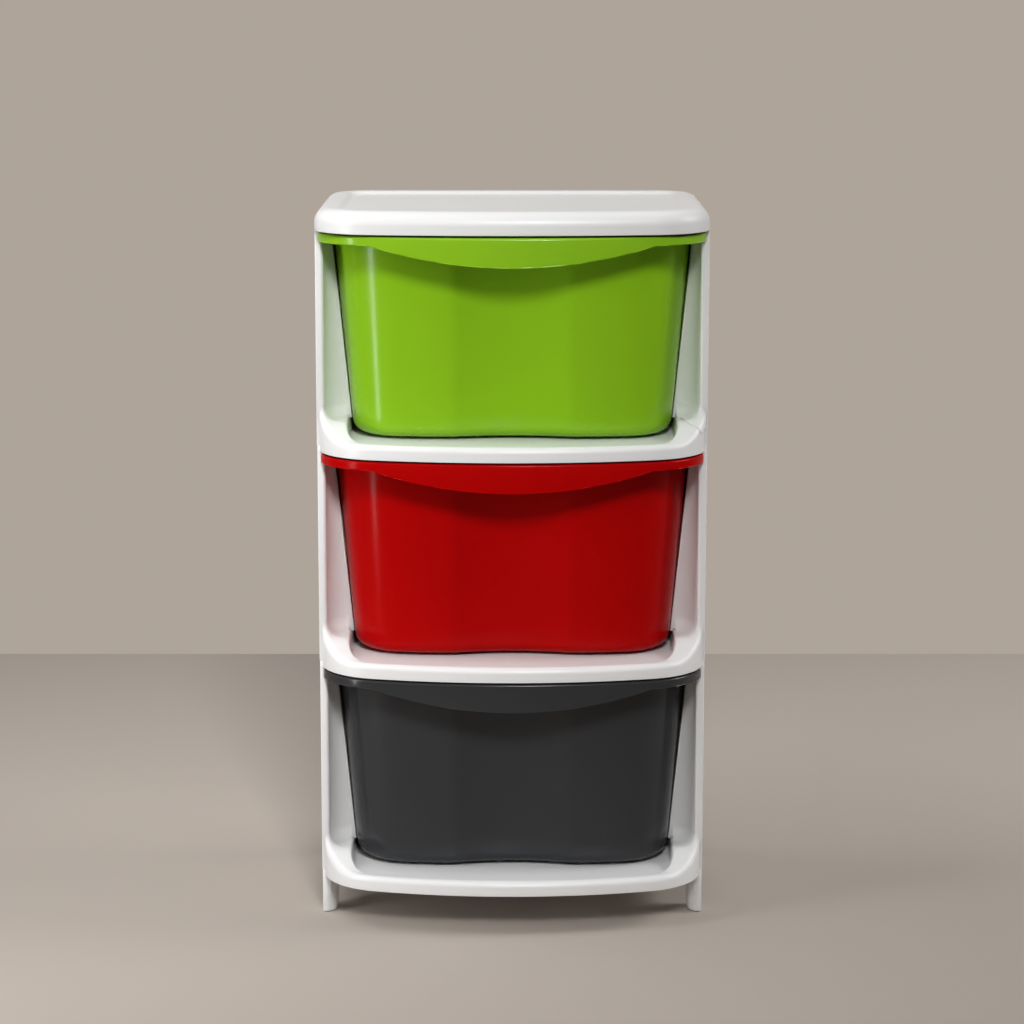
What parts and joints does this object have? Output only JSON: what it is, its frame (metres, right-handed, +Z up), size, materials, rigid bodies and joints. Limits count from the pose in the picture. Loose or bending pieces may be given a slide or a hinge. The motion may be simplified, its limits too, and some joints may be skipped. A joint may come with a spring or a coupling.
{
  "type": "plastic drawer tower",
  "caption": "Free-standing white moulded plastic tower with tapered lime green, red and dark grey drawers that slide out by a crescent handle flap, for a child's room.",
  "frame": {"origin": "on the floor under the middle of the tower's box", "axes": "+X to the right seen from the front, the front faces -Y, +Z up"},
  "size_m": [0.38, 0.285, 0.706],
  "materials": {
    "frame_white": "satin moulded",
    "drawer_lime": "gloss moulded",
    "drawer_red": "gloss moulded",
    "drawer_grey": "gloss moulded"
  },
  "bodies": {
    "frame": {"top_lid": "frame_white", "shelf_bottom": "frame_white", "shelf_middle": "frame_white", "shelf_upper": "frame_white", "left_panel_lower": "frame_white", "left_panel_middle": "frame_white", "left_panel_upper": "frame_white", "right_panel_lower": "frame_white", "right_panel_middle": "frame_white", "right_panel_upper": "frame_white", "back_panel_lower": "frame_white", "back_panel_middle": "frame_white", "back_panel_upper": "frame_white", "foot_front_left": "frame_white", "foot_front_right": "frame_white", "foot_rear_left": "frame_white", "foot_rear_right": "frame_white"},
    "drawer_lower": {"drawer_tub_lower": "drawer_grey", "handle_rim_lower": "drawer_grey"},
    "drawer_middle": {"drawer_tub_middle": "drawer_red", "handle_rim_middle": "drawer_red"},
    "drawer_upper": {"drawer_tub_upper": "drawer_lime", "handle_rim_upper": "drawer_lime"}
  },
  "joints": [
    {"name": "drawer_lower_slide", "type": "slide", "parent": "frame", "child": "drawer_lower", "axis": [0, -1, 0], "range_m": [0, 0.16]},
    {"name": "drawer_middle_slide", "type": "slide", "parent": "frame", "child": "drawer_middle", "axis": [0, -1, 0], "range_m": [0, 0.16]},
    {"name": "drawer_upper_slide", "type": "slide", "parent": "frame", "child": "drawer_upper", "axis": [0, -1, 0], "range_m": [0, 0.16]}
  ]
}
